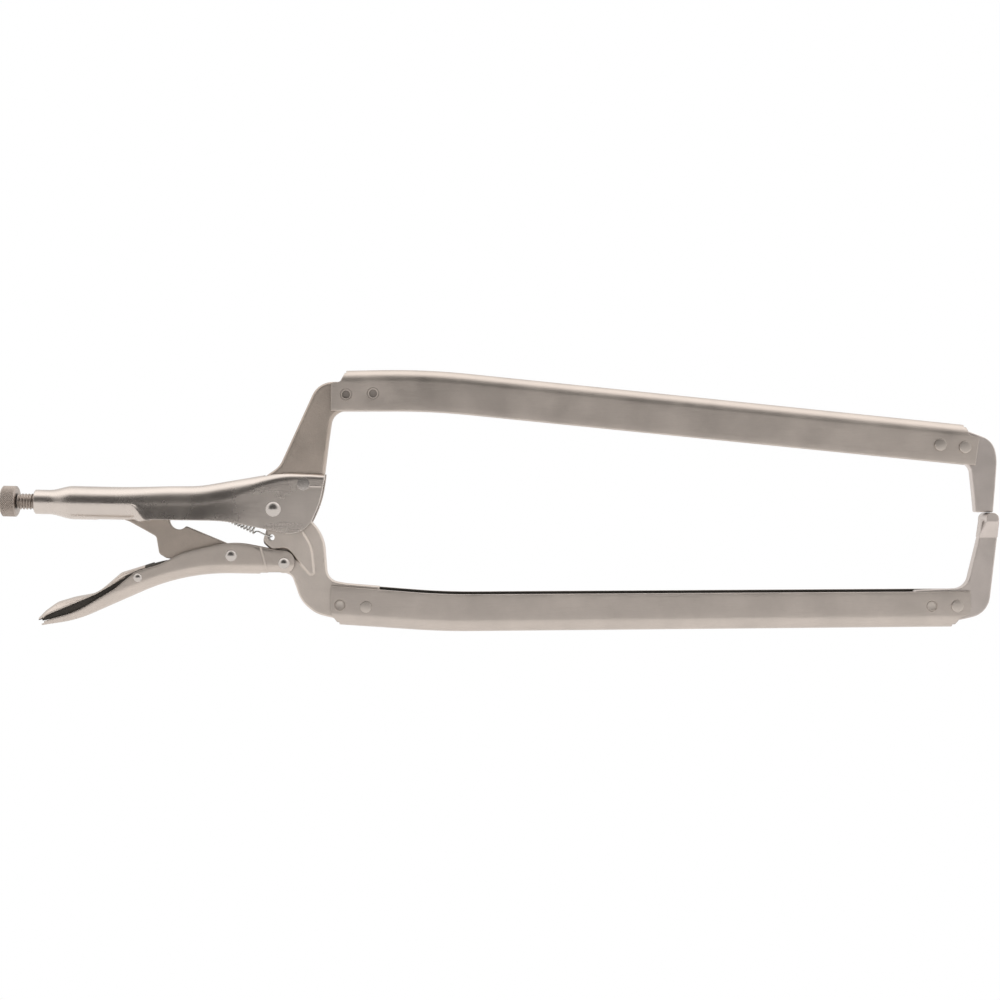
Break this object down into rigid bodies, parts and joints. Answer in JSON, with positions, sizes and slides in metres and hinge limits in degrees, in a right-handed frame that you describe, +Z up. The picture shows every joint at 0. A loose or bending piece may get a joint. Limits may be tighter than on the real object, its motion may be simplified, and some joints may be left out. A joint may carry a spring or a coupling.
{
  "type": "locking c clamp",
  "caption": "Locking C clamp with deep throat channel arms, toggle handle, release lever and knurled adjusting screw.",
  "frame": {"origin": "grip point: centre of the gap between the two closed jaw tips, on the mid-plane of the clamp", "axes": "+X from the handle to the jaw tips along the clamp, +Y across its thickness, +Z up in the direction from the movable jaw to the fixed jaw"},
  "size_m": [0.6104, 0.0208, 0.1605],
  "materials": {
    "handle_sheet": "nickel plated pressed sheet, satin, bright on the bends",
    "forged_plate": "nickel plated blanked plate, fine grained satin",
    "arm_sheet": "nickel plated pressed channel, satin with faint draw lines",
    "tip_plate": "nickel plated forged tip, satin",
    "lever_sheet": "nickel plated pressed sheet, satin",
    "rivet": "nickel plated rivet, polished dome",
    "screw_steel": "nickel plated rolled thread and diamond knurl",
    "spring_wire": "bright spring wire"
  },
  "bodies": {
    "fixed_side": {"upper_handle": "handle_sheet", "fixed_jaw": "forged_plate", "fixed_arm": "arm_sheet", "fixed_tip": "tip_plate", "fixed_jaw_rivet": "rivet", "fixed_arm_root_rivets": "rivet", "fixed_arm_tip_rivets": "rivet", "main_pivot_rivet": "rivet", "jaw_spring": "spring_wire"},
    "movable_side": {"movable_jaw": "forged_plate", "movable_arm": "arm_sheet", "movable_tip": "tip_plate", "movable_arm_root_rivets": "rivet", "movable_arm_tip_rivets": "rivet"},
    "lever_side": {"lever": "lever_sheet", "lever_pivot_rivet": "rivet", "link_rivet": "rivet", "release_rivet": "rivet"},
    "link": {"link": "forged_plate"},
    "release": {"release_lever": "lever_sheet"},
    "screw": {"adjusting_screw": "screw_steel"},
    "knob": {"screw_knob": "screw_steel"}
  },
  "joints": [
    {"name": "jaw_open", "type": "hinge", "parent": "fixed_side", "child": "movable_side", "pos_m": [-0.4385, 0, 0.0021], "axis": [0, 1, 0], "range_deg": [0, 33.8], "deforming": ["jaw_spring"]},
    {"name": "lever_swing", "type": "hinge", "parent": "movable_side", "child": "lever_side", "pos_m": [-0.4321, 0, -0.0311], "axis": [0, 1, 0], "range_deg": [-79, 0.5]},
    {"name": "link_swing", "type": "hinge", "parent": "lever_side", "child": "link", "pos_m": [-0.4643, 0, -0.0264], "axis": [0, 1, 0], "range_deg": [-0.5, 63.5]},
    {"name": "release_press", "type": "hinge", "parent": "lever_side", "child": "release", "pos_m": [-0.5213, 0, -0.0398], "axis": [0, 1, 0], "range_deg": [-0.5, 4]},
    {"name": "screw_travel", "type": "slide", "parent": "fixed_side", "child": "screw", "axis": [0.9997, 0, -0.0227], "range_m": [-0.03, 0]},
    {"name": "knob_turn", "type": "hinge", "parent": "screw", "child": "knob", "pos_m": [-0.5985, 0, 0.00681], "axis": [0.9997, 0, -0.0227], "range_deg": [-5401, 1]}
  ],
  "couplings": [
    {"joint": "lever_swing", "follows": "jaw_open", "ratio": -2.3187},
    {"joint": "link_swing", "follows": "jaw_open", "ratio": 1.856},
    {"joint": "knob_turn", "follows": "screw_travel", "rad_per_m": 3141.6}
  ]
}
